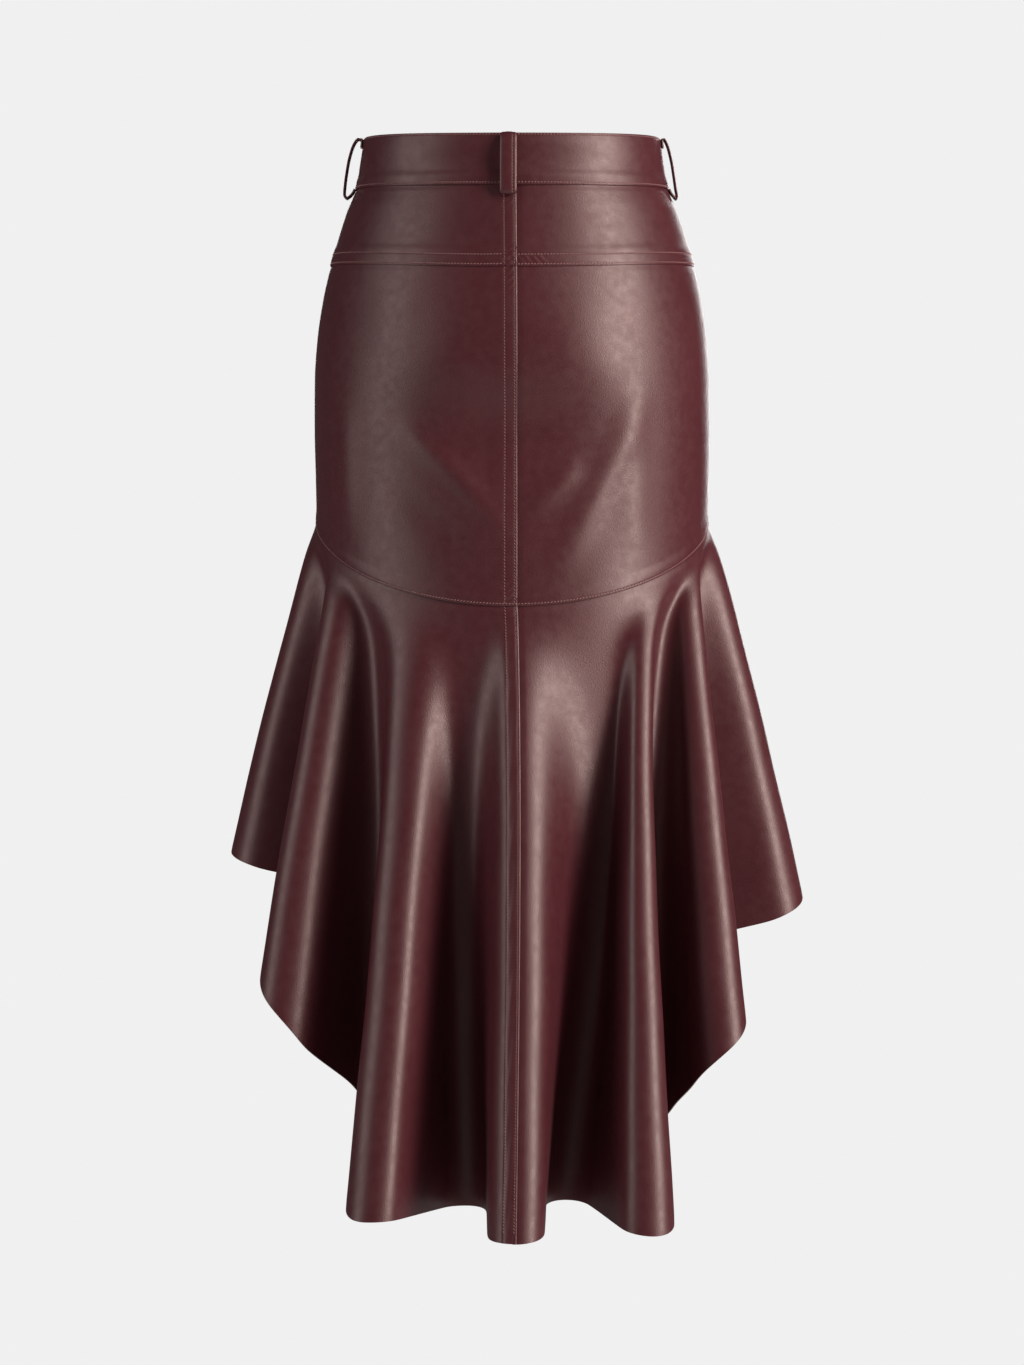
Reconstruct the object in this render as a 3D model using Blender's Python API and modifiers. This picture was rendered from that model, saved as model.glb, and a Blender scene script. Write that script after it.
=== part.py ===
"""A fitted leather skirt with a back yoke and a long high-low flounce, modelled as it is worn.

The frame: +Z is up, the wearer faces -Y, and the origin is the centre of the waist opening, level
with the band's top edge at the sides. A turn is an angle round the skirt, from the centre back
towards the wearer's right side, so the back is 0, the right side 90 and the front 180 degrees.
"""

import math

import bmesh
import bpy
import numpy as np

# Cloth and seams, in metres
WALL = 0.0013
LOOP_WALL = 0.0013
SEAM_GAP = 0.0003
FLOUNCE_GAP = 0.0009  # wider, because the flounce leaves its seam at an angle
BACK_SEAM = math.radians(1.5)
SIDE_SEAM = math.radians(90)
FLOUNCE_SIDE_SEAM = math.radians(101)
FRONT_SEAM = math.radians(180)

# Heights of the edges and seams, in metres below the top edge at the sides
WAIST_DIP = 0.0041
BAND_HEIGHT = 0.0440
YOKE_SEAM_SIDE = -0.1090
YOKE_SEAM_BACK = -0.1175
FLOUNCE_SEAM_SIDE = -0.3260
FLOUNCE_SEAM_BACK = -0.3990
FLOUNCE_SEAM_FRONT = -0.2640

# The fitted part's level sections: half ellipses, deeper over the seat than over the stomach.
# height, half width, depth of the back, depth of the front
SECTIONS = (
    (0.0050, 0.1245, 0.0900, 0.0935),
    (0.0000, 0.1255, 0.0910, 0.0945),
    (-0.0210, 0.1290, 0.0940, 0.0970),
    (-0.0420, 0.1322, 0.0975, 0.1000),
    (-0.0640, 0.1408, 0.1040, 0.1040),
    (-0.1090, 0.1540, 0.1165, 0.1085),
    (-0.1400, 0.1608, 0.1235, 0.1100),
    (-0.1720, 0.1652, 0.1285, 0.1108),
    (-0.2060, 0.1674, 0.1316, 0.1110),
    (-0.2500, 0.1678, 0.1292, 0.1105),
    (-0.2900, 0.1669, 0.1266, 0.1095),
    (-0.3300, 0.1660, 0.1262, 0.1085),
    (-0.4100, 0.1650, 0.1296, 0.1070),
)

# The flounce hangs in round folds, each an arc of the hem when seen from above.
# name, turn at the seam (degrees), sideways swing of the fold's middle (towards a higher turn),
# and of its arc at the hem: middle to the wearer's right, middle to the back, radius, height.
# The radius is positive where the cloth stands out and negative where it falls in. Last is the
# power by which the fold grows down from the seam.
FOLDS = (
    ("centre", 1.5, 0.003, 0.0035, 0.2470, 0.0235, -0.9110, 0.85),
    ("dip_right_1", 23.0, 0.014, 0.0460, 0.1680, -0.0190, -0.8870, 1.20),
    ("fold_right_1", 44.0, -0.009, 0.1090, 0.2260, 0.0230, -0.9070, 0.78),
    ("dip_right_2", 57.5, -0.005, 0.1180, 0.1380, -0.0160, -0.8350, 0.62),
    ("fold_right_2", 67.0, 0.001, 0.1690, 0.1600, 0.0240, -0.7600, 0.68),
    ("dip_right_3", 79.0, 0.000, 0.1630, 0.0720, -0.0150, -0.6860, 0.62),
    ("fold_right_3", 93.0, 0.000, 0.2200, 0.0350, 0.0260, -0.6460, 0.68),
    ("dip_front_1", 107.0, 0.002, 0.1780, -0.0350, -0.0170, -0.5980, 0.68),
    ("fold_front_1", 122.0, -0.004, 0.1800, -0.0940, 0.0240, -0.5570, 0.68),
    ("dip_front_2", 138.0, 0.000, 0.1160, -0.1150, -0.0190, -0.5240, 0.68),
    ("fold_front_2", 156.0, 0.003, 0.0840, -0.1490, 0.0260, -0.5080, 0.68),
    ("dip_front_3", 178.0, 0.000, 0.0060, -0.1420, -0.0240, -0.4980, 0.68),
    ("fold_front_3", 201.0, -0.002, -0.0760, -0.1510, 0.0270, -0.5080, 0.68),
    ("dip_front_4", 221.0, 0.000, -0.1120, -0.1190, -0.0180, -0.5230, 0.68),
    ("fold_front_4", 237.0, 0.004, -0.1760, -0.0980, 0.0230, -0.5540, 0.68),
    ("dip_front_5", 253.0, 0.000, -0.1760, -0.0390, -0.0160, -0.5800, 0.68),
    ("fold_left_3", 268.0, 0.000, -0.2120, 0.0300, 0.0260, -0.6070, 0.68),
    ("dip_left_3", 283.0, 0.000, -0.1610, 0.0660, -0.0150, -0.6400, 0.68),
    ("fold_left_2", 298.0, 0.000, -0.1850, 0.1500, 0.0230, -0.7240, 0.68),
    ("dip_left_2", 310.0, 0.002, -0.1200, 0.1390, -0.0160, -0.8200, 0.60),
    ("fold_left_1", 333.0, 0.002, -0.1120, 0.2230, 0.0230, -0.8960, 0.85),
    ("dip_left_1", 348.0, -0.003, -0.0390, 0.1650, -0.0180, -0.8920, 1.25),
)
FOLD_START = 0.02
SWING_SKEW = 0.70
FLARE_SIDE = 0.2120
FLARE_BACK = 0.2020
FLARE_FRONT = 0.1450

# The hollow below the seat, half widths except for its depth
HOLLOW_HEIGHT = -0.2550
HOLLOW_DEPTH = 0.0080
HOLLOW_REACH = 0.0460
HOLLOW_WIDTH = 0.0570
HOLLOW_NARROWING = 0.4500
HOLLOW_NARROWEST = 0.0240
HOLLOW_WIDEST = 0.0800

# Belt loops: name, turn (degrees), how far the strip stands off the band
LOOPS = (
    ("belt_loop_back", -1.3, 0.0085),
    ("belt_loop_left", -90.0, 0.0105),
    ("belt_loop_right", 90.0, 0.0072),
)
LOOP_WIDTH = 0.0130
# The strip's middle line from its turned-under top end to the end in the band's lower seam:
# part of the stand-off, height
LOOP_LINE = (
    (0.00, -0.0075),
    (0.00, -0.0010),
    (0.20, 0.0012),
    (0.52, -0.0010),
    (0.82, -0.0085),
    (0.97, -0.0215),
    (1.00, -0.0345),
    (0.92, -0.0450),
    (0.68, -0.0512),
    (0.34, -0.0527),
    (0.08, -0.0485),
    (0.00, -0.0428),
)

# Mesh densities: faces across and down
BAND_FACES = (14, 2)
YOKE_FACES = (14, 3)
BODY_FACES = (13, 7)
FLOUNCE_ROWS = 7
FLOUNCE_STEP = 0.0225
TURN_COST = 0.0220
END_STEP = 0.0020
LOOP_FACES = (2, 24)

LEATHER_COLOUR = (0.075, 0.019, 0.022, 1.0)
LEATHER_ROUGHNESS = 0.42


def smooth_curve(xs, ys):
    """A curve through the points that never overshoots between them."""
    xs = np.asarray(xs, float)
    ys = np.asarray(ys, float)
    steps = np.diff(xs)
    slopes = np.diff(ys) / steps
    same_way = slopes[:-1] * slopes[1:] > 0
    mean = 2 * slopes[:-1] * slopes[1:] / np.where(same_way, slopes[:-1] + slopes[1:], 1)
    tangents = np.concatenate([slopes[:1], np.where(same_way, mean, 0), slopes[-1:]])

    def at(x):
        i = int(np.clip(np.searchsorted(xs, x) - 1, 0, len(steps) - 1))
        t = (x - xs[i]) / steps[i]
        rise = (1 + 2 * t) * (1 - t) ** 2 * ys[i] + t * t * (3 - 2 * t) * ys[i + 1]
        lean = t * (1 - t) ** 2 * tangents[i] - t * t * (1 - t) * tangents[i + 1]
        return rise + lean * steps[i]

    return at


SECTION_RISE = sorted(SECTIONS)
HALF_WIDTH, BACK_DEPTH, FRONT_DEPTH = (
    smooth_curve([row[0] for row in SECTION_RISE], [row[column] for row in SECTION_RISE])
    for column in (1, 2, 3)
)


def seat_hollow(across, height):
    """How deep the back falls in below the seat, in a hollow that narrows downwards."""
    narrowing = HOLLOW_NARROWING * (HOLLOW_HEIGHT - height)
    width = min(max(HOLLOW_WIDTH - narrowing, HOLLOW_NARROWEST), HOLLOW_WIDEST)
    fall = ((height - HOLLOW_HEIGHT) / HOLLOW_REACH) ** 2
    return HOLLOW_DEPTH * math.exp(-((across / width) ** 2) - fall)


def body_point(turn, height):
    """The point of the fitted part's outer face at a turn and a height."""
    across = -HALF_WIDTH(height) * math.sin(turn)
    if math.cos(turn) > 0:
        depth = BACK_DEPTH(height) * math.cos(turn) - seat_hollow(across, height)
    else:
        depth = FRONT_DEPTH(height) * math.cos(turn)
    return np.array((across, depth, height))


def body_frame(turn, height):
    """The outer face's point, its outward direction and its level direction round the skirt."""
    small = 1e-4
    point = body_point(turn, height)
    along = body_point(turn + small, height) - body_point(turn - small, height)
    up = body_point(turn, height + small) - body_point(turn, height - small)
    out = np.cross(along, up)
    return point, out / np.linalg.norm(out), along / np.linalg.norm(along)


def band_top(turn):
    return -WAIST_DIP * max(math.cos(turn), 0) ** 2


def band_bottom(turn):
    return band_top(turn) - BAND_HEIGHT


def yoke_bottom(turn):
    return YOKE_SEAM_SIDE + (YOKE_SEAM_BACK - YOKE_SEAM_SIDE) * math.cos(turn) ** 2


def flounce_top(turn):
    lean = (FLOUNCE_SEAM_BACK - FLOUNCE_SEAM_FRONT) / 2
    bow = (FLOUNCE_SEAM_BACK + FLOUNCE_SEAM_FRONT) / 2 - FLOUNCE_SEAM_SIDE
    return FLOUNCE_SEAM_SIDE + lean * math.cos(turn) + bow * math.cos(turn) ** 2


def fold_point(fold, heading):
    """Where the hem lies on a fold's round when it runs in a given direction, seen from above."""
    _, _, _, right, back, radius, _, _ = fold
    return np.array((-right + radius * math.sin(heading), back - radius * math.cos(heading)))


def hem_headings():
    """The direction of each straight stretch of the hem, from a fold to the next one."""
    headings = []
    for fold, after in zip(FOLDS, FOLDS[1:] + FOLDS[:1]):
        step = np.array((fold[3] - after[3], after[4] - fold[4]))
        bearing = math.atan2(step[1], step[0])
        headings.append(bearing - math.asin((after[5] - fold[5]) / np.linalg.norm(step)))
    return headings


def hem_path():
    """The hem seen from above, as arcs round the folds joined by straight stretches.

    Gives the points in order, the place of each fold's middle along them, and how much of the
    mesh's columns each point has behind it.
    """
    headings = hem_headings()
    points = []
    middles = []
    effort = [0.0]
    for fold, before, after in zip(FOLDS, headings[-1:] + headings[:-1], headings):
        swing = (after - before) % (2 * math.pi) - (2 * math.pi if fold[5] < 0 else 0)
        pieces = 12
        for piece in range(pieces + 1):
            point = fold_point(fold, before + swing * piece / pieces)
            if points:
                turned = abs(swing) / pieces if piece else 0
                effort.append(effort[-1] + np.linalg.norm(point - points[-1]) + TURN_COST * turned)
            points.append(point)
        middles.append(len(points) - 1 - pieces // 2)
    return np.array(points), middles, np.array(effort)


HEM_POINTS, HEM_MIDDLES, HEM_EFFORT = hem_path()
HEM_LOOP = HEM_EFFORT[-1] + float(np.linalg.norm(HEM_POINTS[0] - HEM_POINTS[-1]))


def round_the_hem(column):
    """A column of the folds' table as a smooth function of the place along the hem."""
    places = [HEM_EFFORT[middle] for middle in HEM_MIDDLES]
    values = [fold[column] for fold in FOLDS]
    turns = 360 if column == 1 else 0
    places = [places[-1] - HEM_LOOP] + places + [places[0] + HEM_LOOP, places[1] + HEM_LOOP]
    values = [values[-1] - turns] + values + [values[0] + turns, values[1] + turns]
    return smooth_curve(places, values)


SEAM_TURN = round_the_hem(1)
SWING = round_the_hem(2)
HEM_HEIGHT = round_the_hem(6)
GROWTH = round_the_hem(7)


def hem_place(turn):
    """The place along the hem that a turn at the seam leads to."""
    low, high = -0.2, HEM_LOOP + 0.2
    for _ in range(40):
        middle = (low + high) / 2
        if math.radians(SEAM_TURN(middle)) < turn:
            low = middle
        else:
            high = middle
    return (low + high) / 2


def hem_point(place):
    wrapped = place % HEM_LOOP
    places = np.append(HEM_EFFORT, HEM_LOOP)
    across = np.interp(wrapped, places, np.append(HEM_POINTS[:, 0], HEM_POINTS[0, 0]))
    back = np.interp(wrapped, places, np.append(HEM_POINTS[:, 1], HEM_POINTS[0, 1]))
    return np.array((across, back, HEM_HEIGHT(place)))


def flounce_point(place, down):
    """The flounce's outer face, from its seam, down = 0, to the hem, down = 1."""
    turn = math.radians(SEAM_TURN(place))
    top = body_point(turn, flounce_top(turn))
    hem = hem_point(place)
    flare_depth = FLARE_BACK if math.cos(turn) > 0 else FLARE_FRONT
    plain = np.array((-FLARE_SIDE * math.sin(turn), flare_depth * math.cos(turn), hem[2]))
    growth = (max(down - FOLD_START, 0) / (1 - FOLD_START)) ** GROWTH(place)
    swing = SWING(place) * math.sin(math.pi * down**SWING_SKEW)
    sideways = np.array((-math.cos(turn), -math.sin(turn), 0))
    return top + (plain - top) * down + (hem - plain) * growth + sideways * swing


def clear_scene():
    for thing in list(bpy.data.objects):
        bpy.data.objects.remove(thing, do_unlink=True)


def leather(name):
    material = bpy.data.materials.new(name)
    material.use_nodes = True
    shader = material.node_tree.nodes["Principled BSDF"]
    shader.inputs["Base Color"].default_value = LEATHER_COLOUR
    shader.inputs["Roughness"].default_value = LEATHER_ROUGHNESS
    shader.inputs["Metallic"].default_value = 0.0
    return material


def cloth(name, surface, across, down, wall=WALL, offset=-1.0, inset=SEAM_GAP / 2):
    """A panel: a grid laid on a surface, drawn back from its seams and given its wall.

    The surface takes the column and the row as parts of 1; row 0 is the lower edge.
    """
    mesh_grid = bmesh.new()
    bmesh.ops.create_grid(mesh_grid, x_segments=across, y_segments=down, size=0.5)
    rows = np.array([[surface(column / across, row / down) for column in range(across + 1)]
                     for row in range(down + 1)])
    inward = np.zeros_like(rows)
    for edge, inner, axis in ((0, 1, 1), (-1, -2, 1), (0, 1, 0), (-1, -2, 0)):
        step = np.take(rows, inner, axis) - np.take(rows, edge, axis)
        step = inset * step / np.linalg.norm(step, axis=-1, keepdims=True)
        if axis:
            inward[:, edge] += step
        else:
            inward[edge] += step
    rows += inward
    for vertex in mesh_grid.verts:
        column = round((vertex.co.x + 0.5) * across)
        row = round((vertex.co.y + 0.5) * down)
        vertex.co = rows[row, column]
    mesh = bpy.data.meshes.new(name)
    mesh_grid.to_mesh(mesh)
    mesh_grid.free()
    mesh.shade_smooth()
    mesh.materials.append(leather(name + "_leather"))
    panel = bpy.data.objects.new(name, mesh)
    solidify = panel.modifiers.new("wall", "SOLIDIFY")
    solidify.thickness = wall
    solidify.offset = offset
    solidify.use_even_offset = True
    return panel


def fitted_panel(name, start, end, top, bottom, faces):
    """A panel of the fitted part between two turns and two edges."""

    def surface(column, row):
        turn = start + (end - start) * column
        return body_point(turn, bottom(turn) + (top(turn) - bottom(turn)) * row)

    return cloth(name, surface, *faces)


def flounce_panel(name, start, end):
    """A panel of the flounce, with its columns close together where the folds turn."""
    first, last = hem_place(start), hem_place(end)
    count = round((last - first - 2 * END_STEP) / FLOUNCE_STEP)
    inside = np.linspace(first + END_STEP, last - END_STEP, count + 1)
    places = np.concatenate([[first], inside, [last]])

    def surface(column, row):
        return flounce_point(places[round(column * (len(places) - 1))], 1 - row)

    return cloth(name, surface, len(places) - 1, FLOUNCE_ROWS, inset=FLOUNCE_GAP / 2)


def belt_loop(name, degrees, stand_off):
    """A strip that leaves the band at its top edge and turns back into its lower seam."""
    turn = math.radians(degrees)
    face = SEAM_GAP + LOOP_WALL / 2
    steps = range(len(LOOP_LINE))
    out_at = smooth_curve(steps, [face + part * (stand_off - face) for part, _ in LOOP_LINE])
    height_at = smooth_curve(steps, [height for _, height in LOOP_LINE])
    dip = band_top(turn)

    def surface(column, row):
        step = row * (len(LOOP_LINE) - 1)
        point, out, along = body_frame(turn, min(height_at(step), 0) + dip)
        lift = np.array((0, 0, max(height_at(step), 0)))
        return point + out * out_at(step) + lift + along * (column - 0.5) * LOOP_WIDTH

    return cloth(name, surface, *LOOP_FACES, wall=LOOP_WALL, offset=0.0, inset=0)


def build():
    clear_scene()
    right, left, front = SIDE_SEAM, 2 * math.pi - SIDE_SEAM, FRONT_SEAM
    back, round_to_back = BACK_SEAM, 2 * math.pi + BACK_SEAM
    low_right, low_left = FLOUNCE_SIDE_SEAM, 2 * math.pi - FLOUNCE_SIDE_SEAM
    double = (2 * BAND_FACES[0], BAND_FACES[1])
    panels = [
        fitted_panel("waistband_back", left - 2 * math.pi, right, band_top, band_bottom, double),
        fitted_panel("waistband_front_right", right, front, band_top, band_bottom, BAND_FACES),
        fitted_panel("waistband_front_left", front, left, band_top, band_bottom, BAND_FACES),
        fitted_panel("yoke_back_right", back, right, band_bottom, yoke_bottom, YOKE_FACES),
        fitted_panel("yoke_back_left", left, round_to_back, band_bottom, yoke_bottom, YOKE_FACES),
        fitted_panel("body_back_right", back, right, yoke_bottom, flounce_top, BODY_FACES),
        fitted_panel("body_back_left", left, round_to_back, yoke_bottom, flounce_top, BODY_FACES),
        fitted_panel("body_front_right", right, front, band_bottom, flounce_top, BODY_FACES),
        fitted_panel("body_front_left", front, left, band_bottom, flounce_top, BODY_FACES),
        flounce_panel("flounce_back_right", back, low_right),
        flounce_panel("flounce_back_left", low_left, round_to_back),
        flounce_panel("flounce_front", low_right, low_left),
    ]
    panels += [belt_loop(*loop) for loop in LOOPS]
    collection = bpy.data.collections.new("leather_skirt")
    bpy.context.scene.collection.children.link(collection)
    for panel in panels:
        collection.objects.link(panel)


build()
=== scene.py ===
"""The looks of a leather skirt with a high-low flounce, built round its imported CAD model.

Metres, +Z up, the wearer faces -Y, the origin is the centre of the waist opening. A turn is an
angle round the skirt from the centre back towards the wearer's right side. Every leather panel is
a fine grid laid on the same surfaces as its CAD solid, with the laps, seams, creases and rows of
stitches that the solid leaves out.
"""
import math
from collections import namedtuple

import bpy
import numpy as np
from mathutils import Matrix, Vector


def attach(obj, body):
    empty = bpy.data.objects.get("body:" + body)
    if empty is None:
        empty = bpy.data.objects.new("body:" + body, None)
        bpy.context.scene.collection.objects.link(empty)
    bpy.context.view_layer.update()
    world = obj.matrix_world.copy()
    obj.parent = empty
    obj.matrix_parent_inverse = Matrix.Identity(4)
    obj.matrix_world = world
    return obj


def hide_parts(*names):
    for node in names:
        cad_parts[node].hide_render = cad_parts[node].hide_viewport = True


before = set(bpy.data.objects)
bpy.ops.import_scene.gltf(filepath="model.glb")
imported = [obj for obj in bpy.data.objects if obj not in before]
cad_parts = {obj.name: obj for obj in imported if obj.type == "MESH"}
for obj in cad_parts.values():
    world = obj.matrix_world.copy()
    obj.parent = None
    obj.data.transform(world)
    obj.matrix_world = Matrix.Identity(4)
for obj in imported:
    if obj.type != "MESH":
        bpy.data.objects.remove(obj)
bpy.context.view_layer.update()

# ---------------------------------------------------------------- the skirt's sizes, as in the CAD
BACK_SEAM = math.radians(1.5)
SIDE_SEAM = math.radians(90)
FLOUNCE_SIDE_SEAM = math.radians(101)
FRONT_SEAM = math.radians(180)
SEAM_GAP = 0.0003
WAIST_DIP = 0.0041
BAND_HEIGHT = 0.0440
YOKE_SEAM_SIDE = -0.1090
YOKE_SEAM_BACK = -0.1175
FLOUNCE_SEAM_SIDE = -0.3260
FLOUNCE_SEAM_BACK = -0.3990
FLOUNCE_SEAM_FRONT = -0.2640

# height, half width, depth of the back, depth of the front
SECTIONS = (
    (0.0050, 0.1245, 0.0900, 0.0935),
    (0.0000, 0.1255, 0.0910, 0.0945),
    (-0.0210, 0.1290, 0.0940, 0.0970),
    (-0.0420, 0.1322, 0.0975, 0.1000),
    (-0.0640, 0.1408, 0.1040, 0.1040),
    (-0.1090, 0.1540, 0.1165, 0.1085),
    (-0.1400, 0.1608, 0.1235, 0.1100),
    (-0.1720, 0.1652, 0.1285, 0.1108),
    (-0.2060, 0.1674, 0.1316, 0.1110),
    (-0.2500, 0.1678, 0.1292, 0.1105),
    (-0.2900, 0.1669, 0.1266, 0.1095),
    (-0.3300, 0.1660, 0.1262, 0.1085),
    (-0.4100, 0.1650, 0.1296, 0.1070),
)

# name, turn at the seam (degrees), sideways swing of the fold's middle; its arc at the hem: how far
# to the wearer's right and to the back its middle is, its radius (negative for a dip), its height;
# and the power by which the fold grows on the way down
Fold = namedtuple("Fold", "name turn swing right back radius height growth")
FOLDS = tuple(Fold(*row) for row in (
    ("centre", 1.5, 0.003, 0.0035, 0.2470, 0.0235, -0.9110, 0.85),
    ("dip_right_1", 23.0, 0.014, 0.0460, 0.1680, -0.0190, -0.8870, 1.20),
    ("fold_right_1", 44.0, -0.009, 0.1090, 0.2260, 0.0230, -0.9070, 0.78),
    ("dip_right_2", 57.5, -0.005, 0.1180, 0.1380, -0.0160, -0.8350, 0.62),
    ("fold_right_2", 67.0, 0.001, 0.1690, 0.1600, 0.0240, -0.7600, 0.68),
    ("dip_right_3", 79.0, 0.000, 0.1630, 0.0720, -0.0150, -0.6860, 0.62),
    ("fold_right_3", 93.0, 0.000, 0.2200, 0.0350, 0.0260, -0.6460, 0.68),
    ("dip_front_1", 107.0, 0.002, 0.1780, -0.0350, -0.0170, -0.5980, 0.68),
    ("fold_front_1", 122.0, -0.004, 0.1800, -0.0940, 0.0240, -0.5570, 0.68),
    ("dip_front_2", 138.0, 0.000, 0.1160, -0.1150, -0.0190, -0.5240, 0.68),
    ("fold_front_2", 156.0, 0.003, 0.0840, -0.1490, 0.0260, -0.5080, 0.68),
    ("dip_front_3", 178.0, 0.000, 0.0060, -0.1420, -0.0240, -0.4980, 0.68),
    ("fold_front_3", 201.0, -0.002, -0.0760, -0.1510, 0.0270, -0.5080, 0.68),
    ("dip_front_4", 221.0, 0.000, -0.1120, -0.1190, -0.0180, -0.5230, 0.68),
    ("fold_front_4", 237.0, 0.004, -0.1760, -0.0980, 0.0230, -0.5540, 0.68),
    ("dip_front_5", 253.0, 0.000, -0.1760, -0.0390, -0.0160, -0.5800, 0.68),
    ("fold_left_3", 268.0, 0.000, -0.2120, 0.0300, 0.0260, -0.6070, 0.68),
    ("dip_left_3", 283.0, 0.000, -0.1610, 0.0660, -0.0150, -0.6400, 0.68),
    ("fold_left_2", 298.0, 0.000, -0.1850, 0.1500, 0.0230, -0.7240, 0.68),
    ("dip_left_2", 310.0, 0.002, -0.1200, 0.1390, -0.0160, -0.8200, 0.60),
    ("fold_left_1", 333.0, 0.002, -0.1120, 0.2230, 0.0230, -0.8960, 0.85),
    ("dip_left_1", 348.0, -0.003, -0.0390, 0.1650, -0.0180, -0.8920, 1.25),
))
FOLD_ONSET = 0.060  # the part of the way down over which the folds come in
SWING_SKEW = 0.70  # under 1, a fold's middle swings most above half way down
# half width and depths of the plain flare that the folds grow out of, at the hem
FLARE_SIDE = 0.2120
FLARE_BACK = 0.2020
FLARE_FRONT = 0.1450
# places along the hem count a fold's arc as longer than it is, by this much a radian, so that it
# stays round when the line is softened
TURN_COST = 0.0220

# Belt loops: name, turn (degrees), how far the strip stands off the band
LOOPS = (
    ("belt_loop_back", -1.3, 0.0085),
    ("belt_loop_left", -90.0, 0.0105),
    ("belt_loop_right", 90.0, 0.0072),
)
LOOP_WIDTH = 0.0130
LOOP_WALL = 0.0013
# The loop's ends lie closer to the band than its middle, and all of it a little low
LOOP_OUT = 0.0004
LOOP_END_IN = 0.0008
LOOP_DROP = 0.0007
# Its two edges turn in, its stitches lie in a groove and its middle stands up
LOOP_EDGE_DEPTH, LOOP_EDGE_WIDTH = 0.00045, 0.0005
LOOP_GROOVE_DEPTH, LOOP_GROOVE_WIDTH = 0.00028, 0.0006
LOOP_CROWN = 0.0028
LOOP_STITCHES = 0.0037
LOOP_THREAD_SINK = 0.0003
LOOP_STITCHED = slice(26, 72)
# part of the stand-off, height
LOOP_LINE = (
    (0.00, -0.0075),
    (0.00, -0.0010),
    (0.20, 0.0012),
    (0.52, -0.0010),
    (0.82, -0.0085),
    (0.97, -0.0215),
    (1.00, -0.0345),
    (0.92, -0.0450),
    (0.68, -0.0512),
    (0.34, -0.0527),
    (0.08, -0.0485),
    (0.00, -0.0428),
)

# ------------------------------------------------------------------------ seams, laps and stitches
WALL = 0.0011
# A side under a lap lies this much lower, over this width, and reaches on past its seam
UNDER_DEPTH = 0.0004
UNDER_WIDTH = 0.0060
UNDER_REACH = 0.0030
# The flounce's top edge lies lower still
TUCK_DEPTH = 0.0003
TUCK_WIDTH = 0.0080
# A side that meets another edge to edge, and a plain cut edge, turn in a little
BUTT_DEPTH, BUTT_WIDTH = 0.0006, 0.0011
FREE_DEPTH, FREE_WIDTH = 0.0002, 0.0006
# A lap falls back to the plain surface over this width; the centre-back strip does so more slowly
LAP_FADE = 0.0080
STRIP_FADE = 0.0180
EDGE_ROUND = 0.0011
EDGE_DROP = 0.4 * EDGE_ROUND
GROOVE_DEPTH = 0.00032
GROOVE_WIDTH = 0.0007
EDGE_WAVE = 0.00005
PUCKER_RISE, PUCKER_PULL = 0.00012, 0.00015
# The low bar across the centre-back strip, where another seam crosses it
BAR_HEIGHT, BAR_WIDTH = 0.0007, 0.0011
BAR_PAST_LAP = 0.0022
BAR_FROM, BAR_TO = 0.0088, 0.0108

STITCH_PITCH = 0.0027
STITCH_LENGTH = 0.0024
THREAD_RADIUS = 0.00040
STITCH_SLANT = math.radians(24)

# What lies on top at a lapped edge: height of the lap, its width, its rows of stitches
Lap = namedtuple("Lap", "rise width rows")
LAPS = {
    "band_lap": Lap(0.0008, 0.0060, (0.0019,)),
    "yoke_lap": Lap(0.0008, 0.0125, (0.0018, 0.0102)),
    "back_lap": Lap(0.0009, 0.0112, (0.0021, 0.0105)),
    "front_lap": Lap(0.0009, 0.0050, (0.0022,)),
    "body_lap": Lap(0.0007, 0.0050, (0.0018,)),
    "band_top": Lap(0.0002, 0.0050, (0.0014,)),
}

# Distances between the grid's lines: plain, and near a sewn side
PANEL_STEP = 0.0030
PANEL_FINE_ACROSS, PANEL_FINE_DOWN = 0.0006, 0.0007
FLOUNCE_STEP_ACROSS, FLOUNCE_FINE_ACROSS = 0.0031, 0.0008
FLOUNCE_STEP_DOWN, FLOUNCE_FINE_DOWN = 0.0062, 0.0010
FLOUNCE_LENGTH = 0.42

# Soft creases of the fitted panels: turn and height at both ends (degrees, metres), how far the
# middle bows down, half width, height (negative for a trough)
CREASES = (
    (-31.0, -0.255, -4.0, -0.332, 0.004, 0.010, 0.0030),
    (-35.0, -0.300, -10.0, -0.375, 0.004, 0.014, -0.0012),
    (19.0, -0.282, 5.0, -0.318, 0.002, 0.009, 0.0024),
    (37.0, -0.240, 13.0, -0.365, 0.003, 0.013, 0.0030),
    (38.5, -0.215, 38.0, -0.345, 0.000, 0.015, 0.0014),
    (-38.0, -0.130, -35.0, -0.200, 0.000, 0.022, 0.0012),
    (-56.0, -0.235, -57.0, -0.330, 0.000, 0.013, 0.0014),
    (118.0, -0.070, 160.0, -0.118, 0.004, 0.012, 0.0012),
    (243.0, -0.075, 205.0, -0.112, 0.004, 0.013, 0.0011),
    (140.0, -0.160, 132.0, -0.235, 0.003, 0.016, 0.0012),
    (222.0, -0.150, 230.0, -0.225, -0.003, 0.017, 0.0010),
)
ROUND_RADIUS = 0.150  # turns a turn into a distance round the skirt
HIP_HALF_WIDTH, HIP_DEPTH = 0.165, 0.128  # a turn is read from a point as round these
UNEVENNESS = 0.00012
FLOUNCE_UNEVENNESS = 0.00045

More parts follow.
